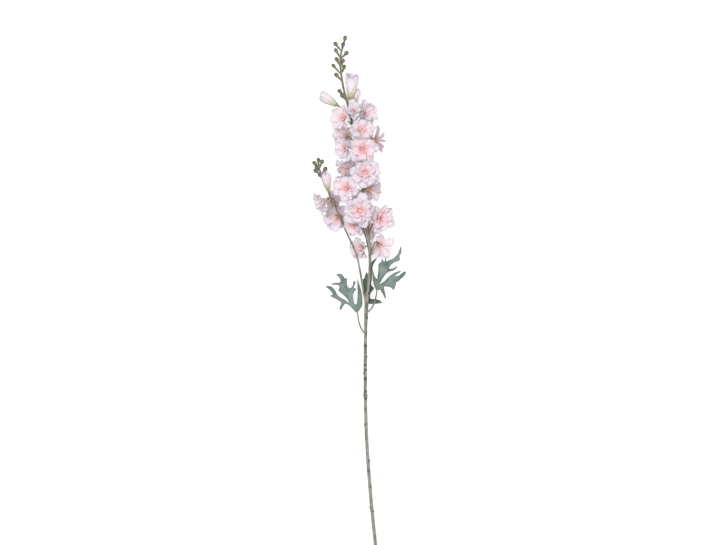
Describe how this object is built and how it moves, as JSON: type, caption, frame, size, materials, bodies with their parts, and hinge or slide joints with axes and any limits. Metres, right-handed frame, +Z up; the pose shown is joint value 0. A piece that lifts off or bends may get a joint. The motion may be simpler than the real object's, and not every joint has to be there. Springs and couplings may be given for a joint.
{
  "type": "delphinium flower spike",
  "caption": "Cut delphinium spike with a side shoot, double blooms on short stalks, pale and green buds and cut leaves, lying on its back.",
  "frame": {"origin": "on the surface that the spike lies on, below the middle of its bounding box", "axes": "+Y along the spike from the cut end to the tip, +X to the right as it is seen from above, +Z up from the surface"},
  "size_m": [0.1586, 0.8718, 0.0805],
  "materials": {
    "stem": "satin, grey green, moulded over a wire",
    "petal": "thin woven cloth, coral pink in the throat and pale at the edge",
    "bud": "thin woven cloth, almost white",
    "leaf": "matt woven cloth, grey green"
  },
  "bodies": {
    "root": {"stem": "stem", "bloom_01": "petal", "bloom_02": "petal", "bloom_03": "petal", "bloom_04": "petal", "bloom_05": "petal", "bloom_06": "petal", "bloom_07": "petal", "bloom_08": "petal", "bloom_09": "petal", "bloom_10": "petal", "bloom_11": "petal", "bloom_12": "petal", "bloom_13": "petal", "bloom_14": "petal", "bloom_15": "petal", "bloom_16": "petal", "bloom_17": "petal", "bloom_18": "petal", "bloom_19": "petal", "bloom_20": "petal", "bloom_21": "petal", "side_bloom_1": "petal", "side_bloom_2": "petal", "side_bloom_3": "petal", "bud_left": "bud", "bud_top": "bud", "bud_right": "bud", "side_bud": "bud", "leaf_left": "leaf", "leaf_right": "leaf", "leaf_back": "leaf"}
  },
  "joints": []
}
